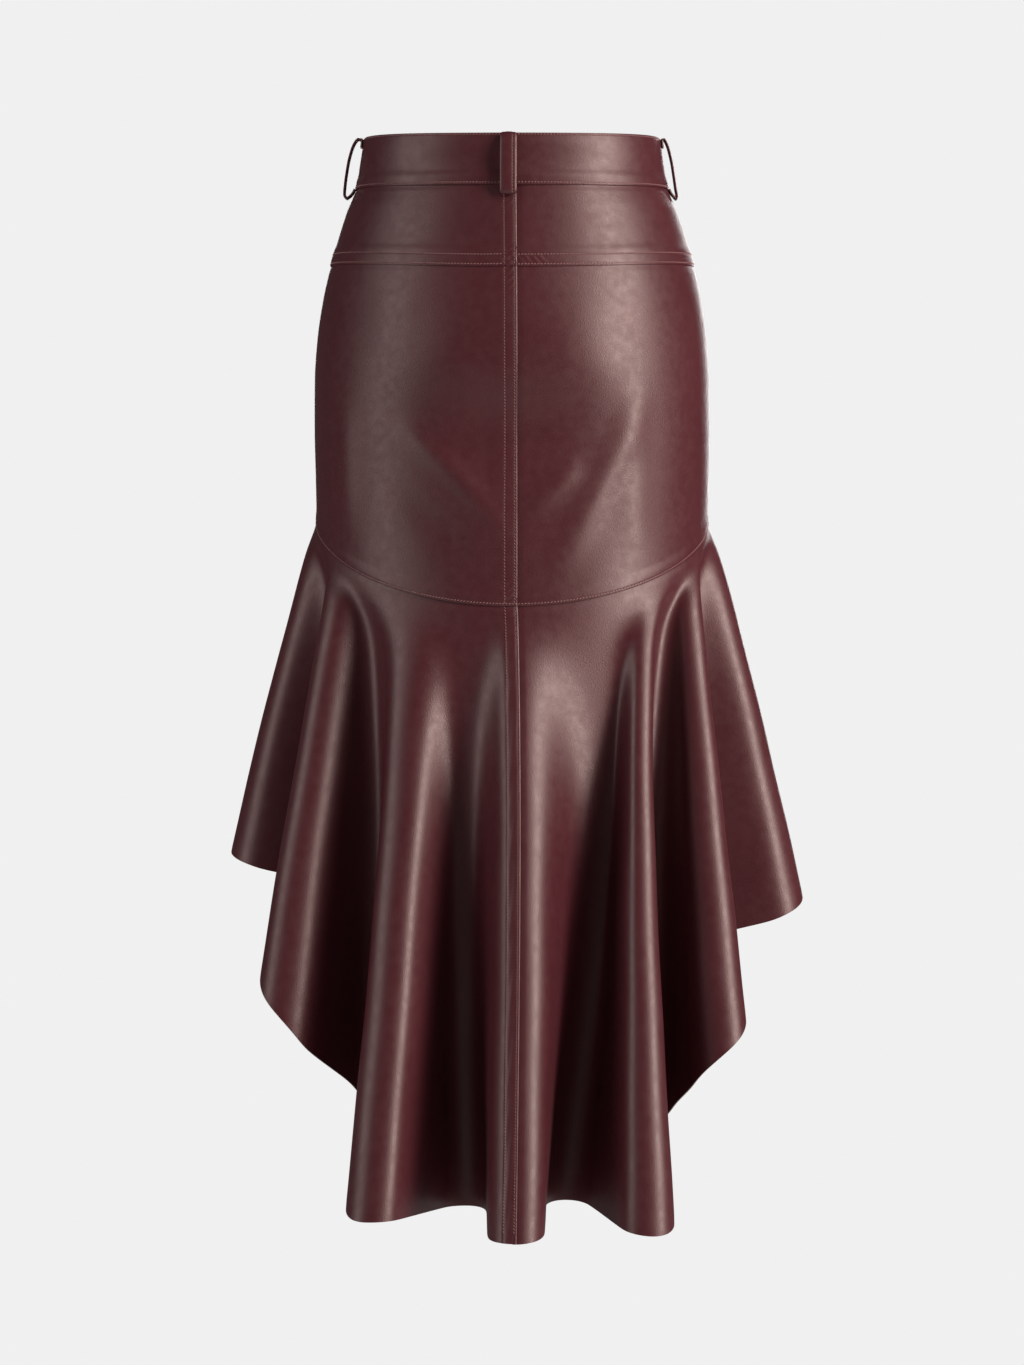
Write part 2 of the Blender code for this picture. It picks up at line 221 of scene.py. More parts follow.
# The two rounds of the seat, and the hollow between and below them that narrows downwards
SEAT_SIDE, SEAT_HEIGHT, SEAT_REACH, SEAT_RISE = 0.0470, -0.1800, 0.0360, 0.0024
HOLLOW_HEIGHT, HOLLOW_REACH, HOLLOW_DEPTH = -0.2550, 0.0460, 0.0085
HOLLOW_WIDTH, HOLLOW_WIDTH_HEIGHT = 0.0750, -0.2150
HOLLOW_NARROWING = 0.45
HOLLOW_NARROWEST, HOLLOW_WIDEST = 0.0240, 0.0800

# The fullness of the waistband: height of the round, its half width, its share at the top edge
BAND_FULLNESS, BAND_FULL_WIDTH, BAND_TOP_SHARE = 0.0014, 0.0070, 0.7
BAND_FULL_TOP, BAND_FULL_BOTTOM = 0.0100, 0.0085
BAND_DEPTH = 0.0950


def ramp(value, low, high):
    """0 below low, 1 above high, and smooth between them."""
    t = np.clip((value - low) / (high - low), 0, 1)
    return t * t * (3 - 2 * t)


def bump(value, middle, width):
    return np.exp(-(((value - middle) / width) ** 2))


def unit(vectors):
    return vectors / np.maximum(np.linalg.norm(vectors, axis=-1, keepdims=True), 1e-12)


def smooth_curve(xs, ys):
    """A curve through the points that never overshoots between them."""
    xs = np.asarray(xs, float)
    ys = np.asarray(ys, float)
    steps = np.diff(xs)
    slopes = np.diff(ys) / steps
    same_way = slopes[:-1] * slopes[1:] > 0
    mean = 2 * slopes[:-1] * slopes[1:] / np.where(same_way, slopes[:-1] + slopes[1:], 1)
    tangents = np.concatenate([slopes[:1], np.where(same_way, mean, 0), slopes[-1:]])

    def at(x):
        i = np.clip(np.searchsorted(xs, x) - 1, 0, len(steps) - 1)
        t = (x - xs[i]) / steps[i]
        rise = (1 + 2 * t) * (1 - t) ** 2 * ys[i] + t * t * (3 - 2 * t) * ys[i + 1]
        lean = t * (1 - t) ** 2 * tangents[i] - t * t * (1 - t) * tangents[i + 1]
        return rise + lean * steps[i]

    return at


# --------------------------------------------------------------------------- the skirt's surfaces
SECTION_RISE = sorted(SECTIONS)
HALF_WIDTH, BACK_DEPTH, FRONT_DEPTH = (
    smooth_curve([row[0] for row in SECTION_RISE], [row[column] for row in SECTION_RISE])
    for column in (1, 2, 3)
)


def body_point(turn, height):
    """The outer face of the fitted part."""
    turn, height = np.broadcast_arrays(turn, height)
    depth = np.where(np.cos(turn) > 0, BACK_DEPTH(height), FRONT_DEPTH(height))
    return np.stack([-HALF_WIDTH(height) * np.sin(turn), depth * np.cos(turn), height], axis=-1)


def band_top(turn):
    return -WAIST_DIP * np.maximum(np.cos(turn), 0) ** 2


def band_bottom(turn):
    return band_top(turn) - BAND_HEIGHT


def yoke_bottom(turn):
    return YOKE_SEAM_SIDE + (YOKE_SEAM_BACK - YOKE_SEAM_SIDE) * np.cos(turn) ** 2


def flounce_top(turn):
    lean = (FLOUNCE_SEAM_BACK - FLOUNCE_SEAM_FRONT) / 2
    bow = (FLOUNCE_SEAM_BACK + FLOUNCE_SEAM_FRONT) / 2 - FLOUNCE_SEAM_SIDE
    return FLOUNCE_SEAM_SIDE + lean * np.cos(turn) + bow * np.cos(turn) ** 2


def fold_point(fold, heading):
    """The point of a fold's arc where the hem runs in this direction, seen from above."""
    return np.array((-fold.right + fold.radius * math.sin(heading),
                     fold.back - fold.radius * math.cos(heading)))


def hem_headings():
    """The direction of the straight stretch that touches each fold's arc and the next one's."""
    headings = []
    for fold, after in zip(FOLDS, FOLDS[1:] + FOLDS[:1]):
        step = np.array((fold.right - after.right, after.back - fold.back))
        bearing = math.atan2(step[1], step[0])
        headings.append(bearing - math.asin((after.radius - fold.radius) / np.linalg.norm(step)))
    return headings


def hem_path():
    """The hem seen from above: its points, the places of the folds' middles, and all places."""
    headings = hem_headings()
    points, middles, places = [], [], [0.0]
    pieces = 12
    for fold, before, after in zip(FOLDS, headings[-1:] + headings[:-1], headings):
        swing = (after - before) % (2 * math.pi) - (2 * math.pi if fold.radius < 0 else 0)
        for piece in range(pieces + 1):
            point = fold_point(fold, before + swing * piece / pieces)
            if points:
                turned = abs(swing) / pieces if piece else 0
                places.append(places[-1] + np.linalg.norm(point - points[-1]) + TURN_COST * turned)
            points.append(point)
        middles.append(places[-1 - pieces // 2])
    return np.array(points), middles, np.array(places)


class Hem:
    """The hem and what goes with it, as smooth functions of the place along it."""

    SAMPLES = 6000
    SOFTNESS = (0.0360, 0.0270, 0.0200, 0.0150, 0.0110, 0.0085)

    def __init__(self):
        points, middles, places = hem_path()
        self.length = places[-1] + float(np.linalg.norm(points[0] - points[-1]))
        self.at = np.arange(self.SAMPLES) * self.length / self.SAMPLES
        places = np.append(places, self.length)
        points = np.vstack([points, points[:1]])
        line = [np.interp(self.at, places, points[:, k]) for k in (0, 1)]
        self.lines = [[self.soften(values, softness) for values in line]
                      for softness in self.SOFTNESS]
        turns = self.column(middles, "turn", 360)(self.at)
        trend = 360 * self.at / self.length
        self.turn = np.radians(self.soften(turns - trend) + trend)
        self.swing = self.soften(self.column(middles, "swing")(self.at))
        self.height = self.soften(self.column(middles, "height")(self.at))
        self.growth = self.soften(self.column(middles, "growth")(self.at))

    def column(self, middles, name, per_round=0):
        """A column of the folds' table as a curve that goes on evenly past both its ends."""
        values = [getattr(fold, name) for fold in FOLDS]
        places = [middles[-1] - self.length, *middles, middles[0] + self.length,
                  middles[1] + self.length]
        values = [values[-1] - per_round, *values, values[0] + per_round, values[1] + per_round]
        return smooth_curve(places, values)

    def soften(self, values, softness=SOFTNESS[-1]):
        """Rounds off the joints between the hem's arcs and its straight stretches."""
        waves = np.fft.rfftfreq(self.SAMPLES, self.length / self.SAMPLES)
        return np.fft.irfft(
            np.fft.rfft(values) * np.exp(-2 * (math.pi * softness * waves) ** 2), self.SAMPLES
        )

    def point(self, place, down):
        """The hem's plan as it shows at a part of the way down: rounder towards the seam."""
        level = down * (len(self.lines) - 1)
        found = 0
        for i, line in enumerate(self.lines):
            share = np.clip(1 - np.abs(level - i), 0, 1)
            found = found + np.stack([self.read(values, place) * share for values in line], -1)
        return found

    def read(self, values, place, per_round=0.0):
        """The value at a place, also at one more than a round away."""
        rounds = np.floor(place / self.length)
        at = np.append(self.at, self.length)
        return np.interp(place - rounds * self.length, at,
                         np.append(values, values[0] + per_round)) + rounds * per_round

    def place_of(self, turn):
        """The place along the hem that belongs to a turn at the seam."""
        turns = np.append(self.turn, self.turn[0] + 2 * math.pi)
        rounds = math.floor((turn - turns[0]) / (2 * math.pi))
        at = np.append(self.at, self.length)
        return float(np.interp(turn - rounds * 2 * math.pi, turns, at)) + rounds * self.length


HEM = Hem()


def flounce_point(place, down):
    """The flounce's outer face, from its seam, down = 0, to the hem, down = 1."""
    place, down = np.broadcast_arrays(place, down)
    turn = HEM.read(HEM.turn, place, 2 * math.pi)
    hem = np.concatenate([HEM.point(place, down), HEM.read(HEM.height, place)[..., None]], -1)
    top = body_point(turn, flounce_top(turn))
    depth = np.where(np.cos(turn) > 0, FLARE_BACK, FLARE_FRONT)
    plain = np.stack([-FLARE_SIDE * np.sin(turn), depth * np.cos(turn), hem[..., 2]], -1)
    growth = down ** HEM.read(HEM.growth, place) * (1 - np.exp(-((down / FOLD_ONSET) ** 2)))
    swing = HEM.read(HEM.swing, place) * np.sin(math.pi * down**SWING_SKEW)
    sideways = np.stack([-np.cos(turn), -np.sin(turn), np.zeros_like(turn)], -1)
    return (top + (plain - top) * down[..., None] + (hem - plain) * growth[..., None]
            + sideways * swing[..., None])


# -------------------------------------------------------------------------------------- materials
SHEEN_TINT = (1.0, 0.85, 0.80, 1)


def material(name, colour, roughness):
    made = bpy.data.materials.new(name)
    made.use_nodes = True
    shader = made.node_tree.nodes["Principled BSDF"]
    shader.inputs["Base Color"].default_value = (*colour, 1)
    shader.inputs["Roughness"].default_value = roughness
    shader.inputs["Specular Tint"].default_value = SHEEN_TINT
    return made, made.node_tree, shader


def texture(tree, kind, coordinates, **inputs):
    node = tree.nodes.new(kind)
    for name, value in inputs.items():
        node.inputs[name.replace("_", " ")].default_value = value
    tree.links.new(coordinates, node.inputs["Vector"])
    return node


def remap(tree, source, low, high, to_low, to_high):
    node = tree.nodes.new("ShaderNodeMapRange")
    for name, value in zip(("From Min", "From Max", "To Min", "To Max"),
                           (low, high, to_low, to_high)):
        node.inputs[name].default_value = value
    tree.links.new(source, node.inputs["Value"])
    return node.outputs["Result"]


def bumps(tree, shader, layers):
    """Bump nodes in a chain: each layer is a height output and its depth in metres."""
    last = None
    for height, depth in layers:
        node = tree.nodes.new("ShaderNodeBump")
        node.inputs["Strength"].default_value = 1.0
        node.inputs["Distance"].default_value = depth
        tree.links.new(height, node.inputs["Height"])
        if last:
            tree.links.new(last.outputs["Normal"], node.inputs["Normal"])
        last = node
    tree.links.new(last.outputs["Normal"], shader.inputs["Normal"])


def leather_material(name, dark, light, roughness, grain):
    """Cloudy colour between dark and light, uneven gloss, and a grain of pebbles and pores."""
    made, tree, shader = material(name, dark, roughness)
    place = tree.nodes.new("ShaderNodeTexCoord").outputs["Object"]
    cloud = texture(tree, "ShaderNodeTexNoise", place, Scale=9.0, Detail=4.0, Roughness=0.6)
    mottle = texture(tree, "ShaderNodeTexNoise", place, Scale=130.0, Detail=3.0)
    pebbles = texture(tree, "ShaderNodeTexVoronoi", place, Scale=1050.0, Randomness=1.0)
    pebbles.feature = "SMOOTH_F1"
    pores = texture(tree, "ShaderNodeTexNoise", place, Scale=2600.0, Detail=2.0)
    mix = tree.nodes.new("ShaderNodeMix")
    mix.data_type = "RGBA"
    mix.inputs["A"].default_value = (*dark, 1)
    mix.inputs["B"].default_value = (*light, 1)
    shade = tree.nodes.new("ShaderNodeMath")
    shade.operation = "MULTIPLY_ADD"
    shade.inputs[1].default_value = 0.35
    tree.links.new(mottle.outputs["Fac"], shade.inputs[0])
    tree.links.new(remap(tree, cloud.outputs["Fac"], 0.3, 0.7, 0.0, 0.65), shade.inputs[2])
    tree.links.new(shade.outputs["Value"], mix.inputs["Factor"])
    tree.links.new(mix.outputs["Result"], shader.inputs["Base Color"])
    tree.links.new(
        remap(tree, mottle.outputs["Fac"], 0.3, 0.7, roughness - 0.04, roughness + 0.05),
        shader.inputs["Roughness"])
    bumps(tree, shader, (
        (mottle.outputs["Fac"], 0.08 * grain),
        (pebbles.outputs["Distance"], grain),
        (pores.outputs["Fac"], 0.35 * grain),
    ))
    return made


LEATHER = leather_material("leather", (0.047, 0.0083, 0.0118), (0.059, 0.0112, 0.0150), 0.41,
                           0.00008)
REVERSE = leather_material("leather_reverse", (0.040, 0.016, 0.016), (0.055, 0.022, 0.021), 0.82,
                           0.0002)


def thread_material():
    """Thread a little paler than the leather, with painted highlights and painted shade along the
    turns of its strands.
    """
    made, tree, shader = material("thread", (0.170, 0.070, 0.070), 0.50)
    place = tree.nodes.new("ShaderNodeTexCoord").outputs["Object"]
    twist_and_painted_light = texture(tree, "ShaderNodeTexNoise", place, Scale=2600.0, Detail=2.0)
    # The thread's colour runs from a painted shade to a painted highlight as the noise wanders; the
    # same noise also bumps it
    mix = tree.nodes.new("ShaderNodeMix")
    mix.data_type = "RGBA"
    mix.inputs["A"].default_value = (0.120, 0.044, 0.046, 1)
    mix.inputs["B"].default_value = (0.240, 0.115, 0.110, 1)
    tree.links.new(twist_and_painted_light.outputs["Fac"], mix.inputs["Factor"])
    tree.links.new(mix.outputs["Result"], shader.inputs["Base Color"])
    bumps(tree, shader, ((twist_and_painted_light.outputs["Fac"], 0.0001),))
    return made


THREAD = thread_material()


# ---------------------------------------------------------------------------------- panels of cloth
def spacing(length, coarse, fine, fine_start, fine_end):
    """Places from 0 to 1 along a length, closer together near the ends that ask for it."""
    at = np.linspace(0, length, 2000)
    near = edge = 0.0
    for wanted, away in ((fine_start, at), (fine_end, length - at)):
        near = near + wanted * (1 - ramp(away, 0.012, 0.022))
        edge = edge + wanted * (1 - ramp(away, 0.0010, 0.0022))
    density = 1 / coarse + np.minimum(near, 1) * (1 / fine - 1 / coarse) + edge / fine
    total = np.concatenate([[0], np.cumsum((density[1:] + density[:-1]) / 2 * np.diff(at))])
    count = max(int(round(total[-1])), 2)
    return np.interp(np.linspace(0, total[-1], count + 1), total, at) / length


def mesh_object(name, points, faces, materials, smooth=True, slots=None):
    mesh = bpy.data.meshes.new(name)
    mesh.vertices.add(len(points))
    mesh.vertices.foreach_set("co", np.asarray(points, np.float32).ravel())
    mesh.loops.add(faces.size)
    mesh.loops.foreach_set("vertex_index", faces.astype(np.int32).ravel())
    mesh.polygons.add(len(faces))
    mesh.polygons.foreach_set("loop_start", np.arange(0, faces.size, faces.shape[1], dtype=np.int32))
    mesh.update(calc_edges=True)
    mesh.validate()
    for item in materials:
        mesh.materials.append(item)
    if slots is not None:
        mesh.polygons.foreach_set("material_index", slots.astype(np.int32))
    if smooth:
        mesh.shade_smooth()
        mesh.set_sharp_from_angle(angle=math.radians(50))
    made = bpy.data.objects.new(name, mesh)
    bpy.context.scene.collection.objects.link(made)
    return made


def grid_faces(rows, columns):
    corner = (np.arange(rows - 1)[:, None] * columns + np.arange(columns - 1)).ravel()
    return np.stack([corner, corner + 1, corner + columns + 1, corner + columns], -1)


def shell(name, face, reverse, materials):
    """A closed piece of leather between a grid of points and the same grid on its other face."""
    rows, columns = face.shape[:2]
    number = np.arange(rows * columns).reshape(rows, columns)
    front = grid_faces(rows, columns)
    round_it = np.concatenate([number[0], number[1:, -1], number[-1, -2::-1], number[-2:0:-1, 0]])
    after = np.roll(round_it, -1)
    total = rows * columns
    rim = np.stack([after, round_it, round_it + total, after + total], -1)
    slots = np.repeat((0, len(materials) - 1, 0), (len(front), len(front), len(rim)))
    return mesh_object(name, np.concatenate([face.reshape(-1, 3), reverse.reshape(-1, 3)]),
                       np.concatenate([front, front[:, ::-1] + total, rim]), materials,
                       slots=slots)


def grid_normals(points):
    return unit(np.cross(np.gradient(points, axis=1), np.gradient(points, axis=0)))


SIDES = {"start": (1, 0), "end": (1, -1), "bottom": (0, 0), "top": (0, -1)}


def distances(points):
    """How far each point of a grid is from each of its four sides, along the grid."""
    found = {}
    for axis, (first, last) in ((1, ("start", "end")), (0, ("bottom", "top"))):
        steps = np.linalg.norm(np.diff(points, axis=axis), axis=-1)
        shape = list(points.shape[:2])
        shape[axis] = 1
        along = np.concatenate([np.zeros(shape), np.cumsum(steps, axis=axis)], axis=axis)
        found[first] = along
        found[last] = along.max(axis=axis, keepdims=True) - along
    return found


def tuck_under(points, away, side):
    """Adds a strip that reaches on under the panel that laps over this side."""
    axis, edge = SIDES[side]
    inner = 1 if edge == 0 else -2
    outline = np.take(points, edge, axis)
    strip = outline + UNDER_REACH * unit(outline - np.take(points, inner, axis))
    strip = np.expand_dims(strip, axis)
    grown = np.concatenate([strip, points] if edge == 0 else [points, strip], axis)
    for name, values in away.items():
        outer = np.expand_dims(np.take(values, edge, axis), axis)
        if name == side:
            outer = outer - UNDER_REACH
        away[name] = np.concatenate([outer, values] if edge == 0 else [values, outer], axis)
    return grown, away


def draw_back(points, side):
    """Leaves half a seam's gap at a side that meets another panel edge to edge."""
    axis, edge = SIDES[side]
    inner = 1 if edge == 0 else -2
    step = unit(np.take(points, inner, axis) - np.take(points, edge, axis)) * SEAM_GAP / 2
    if axis:
        points[:, edge] += step
    else:
        points[edge] += step


def side_relief(kind, away, along):
    """How far the leather stands out of its plain surface near one side."""
    if kind == "under":
        return -UNDER_DEPTH * (1 - ramp(away, 0.0, UNDER_WIDTH))
    if kind == "butt":
        return -BUTT_DEPTH * np.exp(-away / BUTT_WIDTH)
    if kind == "free":
        return -FREE_DEPTH * np.exp(-away / FREE_WIDTH)
    rise, width, rows = LAPS[kind]
    fade = STRIP_FADE if kind == "back_lap" else LAP_FADE
    out = rise * (1 - ramp(away, width, width + fade))
    out = out - EDGE_DROP * np.clip(1 - away / EDGE_ROUND, 0, 1) ** 1.2
    for row in rows:
        out = out - GROOVE_DEPTH * bump(away, row, GROOVE_WIDTH)
    wave = np.sin(along / 0.00115 + 2.1 * np.sin(along / 0.013)) * np.sin(along / 0.0057)
    out = out + EDGE_WAVE * wave * np.exp(-away / LAP_FADE)
    if len(rows) > 1:
        middle = (rows[0] + rows[1]) / 2
        inside = bump(away, middle, 0.6 * (rows[1] - rows[0]))
        pull = np.sin((along + 0.9 * away) / 0.00105 + 1.7 * np.sin(along / 0.019))
        out = out + inside * (PUCKER_RISE + PUCKER_PULL * pull)
    return out


class Panel:
    """One piece of leather: a fine grid on its surface, with its sides finished as they are sewn."""

    def __init__(self, name, surface, columns, rows, sides, shape=None):
        self.name = name
        points = surface(columns[None, :], rows[:, None])
        away = distances(points)
        for side, kind in sides.items():
            if kind == "butt":
                draw_back(points, side)
        for side, kind in sides.items():
            if kind == "under":
                points, away = tuck_under(points, away, side)
        out = np.zeros(points.shape[:2])
        if sides["end"] == "back_lap" and sides["bottom"] in LAPS:
            over = LAPS[sides["bottom"]].width + BAR_PAST_LAP
            strip = 1 - ramp(away["end"], BAR_FROM, BAR_TO)
            out += BAR_HEIGHT * bump(away["bottom"], over, BAR_WIDTH) * strip
        for side, kind in sides.items():
            along = away["bottom"] if SIDES[side][0] else away["start"]
            out += side_relief(kind, away[side], along)
        if shape:
            out += shape(points, away)
        self.area = grid_area(points)
        self.points = points + grid_normals(points) * out[..., None]
        self.normals = grid_normals(self.points)
        self.away = away
        self.object = shell(name, self.points, self.points - self.normals * WALL,
                            (LEATHER, REVERSE))

    def line(self, side, distance, trim=(0.0, 0.0)):
        """Points and normals along a line at a distance from one side, less its trimmed ends."""
        axis, _ = SIDES[side]
        away = self.away[side]
        count = away.shape[0] if axis else away.shape[1]
        points, normals = [], []
        for i in range(count):
            at = away[i] if axis else away[:, i]
            order = np.argsort(at)
            strip = self.points[i] if axis else self.points[:, i]
            leans = self.normals[i] if axis else self.normals[:, i]
            points.append([np.interp(distance, at[order], strip[order, k]) for k in range(3)])
            normals.append([np.interp(distance, at[order], leans[order, k]) for k in range(3)])
        points, normals = np.array(points), unit(np.array(normals))
        run = np.concatenate([[0], np.cumsum(np.linalg.norm(np.diff(points, axis=0), axis=1))])
        keep = (run >= trim[0]) & (run <= run[-1] - trim[1])
        return points[keep], normals[keep]


def grid_area(points):
    """The area of the sheet that a grid of points lies on."""
    across = points[:-1, 1:] - points[:-1, :-1]
    down = points[1:, :-1] - points[:-1, :-1]
    return float(np.linalg.norm(np.cross(across, down), axis=-1).sum())


def crease_relief(points, turn, height):
    """The fitted part's soft creases, each along a line that bows down and fades at its ends."""
    out = np.zeros(points.shape[:2])
    for turn_a, height_a, turn_b, height_b, bow, width, rise in CREASES:
        a = np.array((math.radians(turn_a) * ROUND_RADIUS, height_a))
        b = np.array((math.radians(turn_b) * ROUND_RADIUS, height_b))
        run = b - a
        length = np.linalg.norm(run)
        side, rise_to = turn * ROUND_RADIUS - a[0], height - a[1]
        along = (side * run[0] + rise_to * run[1]) / length**2
        off = (side * run[1] - rise_to * run[0]) / length
        off = off + bow * 4 * along * (1 - along)
        fade = ramp(along, -0.25, 0.35) * (1 - ramp(along, 0.65, 1.25))
        out += rise * fade * bump(off, 0, width)
    return out


def seat_relief(turn, height):
    """The two soft rounds of the seat, and the hollow below them that narrows downwards."""
    side = np.where(turn > math.pi, turn - 2 * math.pi, turn) * ROUND_RADIUS
    rounds = bump(side, SEAT_SIDE, SEAT_REACH) + bump(side, -SEAT_SIDE, SEAT_REACH)
    width = HOLLOW_WIDTH - HOLLOW_NARROWING * (HOLLOW_WIDTH_HEIGHT - height)
    width = np.clip(width, HOLLOW_NARROWEST, HOLLOW_WIDEST)
    hollow = bump(side, 0, width) * bump(height, HOLLOW_HEIGHT, HOLLOW_REACH) * (np.cos(turn) > 0)
    return SEAT_RISE * rounds * bump(height, SEAT_HEIGHT, SEAT_REACH) - HOLLOW_DEPTH * hollow


def fitted_shape(points, away):
    """Creases and the seat's rounds, which die out towards the seams, and a slow unevenness."""
    turn = np.arctan2(-points[..., 0] / HIP_HALF_WIDTH, points[..., 1] / HIP_DEPTH)
    turn = np.where(turn < -math.pi / 2 - 0.05, turn + 2 * math.pi, turn)
    height = points[..., 2]
    slow = np.sin(turn * 5.3 + height * 23 + 0.8) + np.sin(turn * 9.1 - height * 37 + 2.2)
    free = ramp(away["bottom"], 0.003, 0.022) * ramp(away["top"], 0.003, 0.022)
    shaped = (crease_relief(points, turn, height) + seat_relief(turn, height)) * free
    return shaped + UNEVENNESS * slow


def band_shape(points, away):
    """The band is fullest just below its top edge and just above its seam, and plain at the sides."""
    along = away["start"]
    wander = 0.0012 * np.sin(along / 0.041) + 0.0008 * np.sin(along / 0.017 + 1.3)
    full = BAND_TOP_SHARE * bump(away["top"], BAND_FULL_TOP + wander, BAND_FULL_WIDTH)
    full = full + bump(away["bottom"], BAND_FULL_BOTTOM - wander, BAND_FULL_WIDTH)
    facing = np.abs(points[..., 1]) / BAND_DEPTH
    return BAND_FULLNESS * facing * full * (1 + 0.25 * np.sin(along / 0.023))


def fitted_panel(name, start, end, top, bottom, sides, shape):
    """A panel of the fitted part: its turns, the lines of its top and bottom, its four sides."""
    edge = body_point(np.linspace(start, end, 60), top(start))
    width = float(np.linalg.norm(np.diff(edge, axis=0), axis=1).sum())
    middle = (start + end) / 2
    length = float(abs(top(middle) - bottom(middle)))
    sewn_ends = (sides[side] != "butt" for side in ("start", "end"))
    columns = spacing(width, PANEL_STEP, PANEL_FINE_ACROSS, *sewn_ends)
    rows = spacing(length, PANEL_STEP, PANEL_FINE_DOWN, True, True)

    def surface(column, row):
        turn = start + (end - start) * column
        return body_point(turn, bottom(turn) + (top(turn) - bottom(turn)) * row)

    return Panel(name, surface, columns, rows, sides, shape)


def flounce_shape(points, away):
    """Tucked under the body's edge at the seam, and a slow unevenness down the folds."""
    tuck = -TUCK_DEPTH * (1 - ramp(away["top"], 0.0, TUCK_WIDTH))
    slow = np.sin(points[..., 0] * 61 + points[..., 2] * 17) * np.sin(points[..., 2] * 29 + 0.6)
    return tuck + FLOUNCE_UNEVENNESS * slow * ramp(away["top"], 0.02, 0.10)


def flounce_panel(name, start, end, sides):
    """A panel of the flounce between two turns, with its columns spaced evenly along the hem."""
    first, last = HEM.place_of(start), HEM.place_of(end)
    dense = np.linspace(first, last, 1500)
    hem = flounce_point(dense, np.ones_like(dense))
    run = np.concatenate([[0], np.cumsum(np.linalg.norm(np.diff(hem, axis=0), axis=1))])
    sewn_ends = (sides[side] != "butt" for side in ("start", "end"))
    marks = spacing(run[-1], FLOUNCE_STEP_ACROSS, FLOUNCE_FINE_ACROSS, *sewn_ends)
    columns = np.interp(marks * run[-1], run, dense)
    rows = spacing(FLOUNCE_LENGTH, FLOUNCE_STEP_DOWN, FLOUNCE_FINE_DOWN, False, True)

    def surface(column, row):
        return flounce_point(column, 1 - row)

    return Panel(name, surface, columns, rows, sides, flounce_shape)


# ---------------------------------------------------------------------------------------- stitches
# A stitch's rings: place along it from -1 to 1, thickness and height over the leather, in radii
STITCH_RINGS = (
    (-1.00, 0.45, -0.90),
    (-0.72, 0.95, 0.10),
    (-0.25, 1.00, 0.55),
    (0.25, 1.00, 0.55),
    (0.72, 0.95, 0.10),
    (1.00, 0.45, -0.90),
)
STITCH_SIDES = 6
STITCH_REACH = 0.0006


def stitch_row(points, normals):
    """Vertices and faces of a row of stitches along a line on the leather."""
    run = np.concatenate([[0], np.cumsum(np.linalg.norm(np.diff(points, axis=0), axis=1))])
    count = int(run[-1] / STITCH_PITCH)
    middles = (np.arange(count) + 0.5) * run[-1] / count
    here, before, after, out = (
        np.stack([np.interp(at, run, source[:, k]) for k in range(3)], -1)
        for at, source in ((middles, points), (middles - STITCH_REACH, points),
                           (middles + STITCH_REACH, points), (middles, normals))
    )
    out = unit(out)
    ahead = unit(after - before)
    side = np.cross(out, ahead)
    slant = STITCH_SLANT * (1 + 0.3 * np.sin(np.arange(count) * 2.4))[:, None]
    lie = ahead * np.cos(slant) + side * np.sin(slant)
    across = np.cross(out, lie)
    rings = []
    for place, thick, high in STITCH_RINGS:
        middle = here + lie * place * STITCH_LENGTH / 2 + out * high * THREAD_RADIUS
        for k in range(STITCH_SIDES):
            angle = 2 * math.pi * k / STITCH_SIDES
            rings.append(middle + THREAD_RADIUS * thick * (across * math.cos(angle)
                                                           + out * math.sin(angle)))
    vertices = np.stack(rings, 1).reshape(-1, 3)
    faces = []
    for ring in range(len(STITCH_RINGS) - 1):
        for k in range(STITCH_SIDES):
            low = ring * STITCH_SIDES + k
            low_next = ring * STITCH_SIDES + (k + 1) % STITCH_SIDES
            faces.append((low, low_next, low_next + STITCH_SIDES, low + STITCH_SIDES))
    last = (len(STITCH_RINGS) - 1) * STITCH_SIDES
    faces += [(3, 2, 1, 0), (5, 4, 3, 0)]
    faces += [(last, last + 1, last + 2, last + 3), (last, last + 3, last + 4, last + 5)]
    each = len(STITCH_RINGS) * STITCH_SIDES
    return vertices, (np.array(faces)[None] + each * np.arange(count)[:, None, None]).reshape(-1, 4)


def stitches(name, lines):
    """One piece of thread made of all the stitches along some lines."""
    vertices, faces, total = [], [], 0
    for points, normals in lines:
        row_vertices, row_faces = stitch_row(points, normals)
        vertices.append(row_vertices)
        faces.append(row_faces + total)
        total += len(row_vertices)
    made = mesh_object(name, np.concatenate(vertices), np.concatenate(faces), (THREAD,))
    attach(made, "root")
    return made


# -------------------------------------------------------------------------------------- belt loops
def loop_line(stand_off):
    """The loop's line as smooth functions of the step along it: distance out, height."""
    face = SEAM_GAP + LOOP_WALL / 2
    steps = range(len(LOOP_LINE))
    out_at = smooth_curve(steps, [face + part * (stand_off - face) for part, _ in LOOP_LINE])
    height_at = smooth_curve(steps, [height for _, height in LOOP_LINE])
    return out_at, height_at


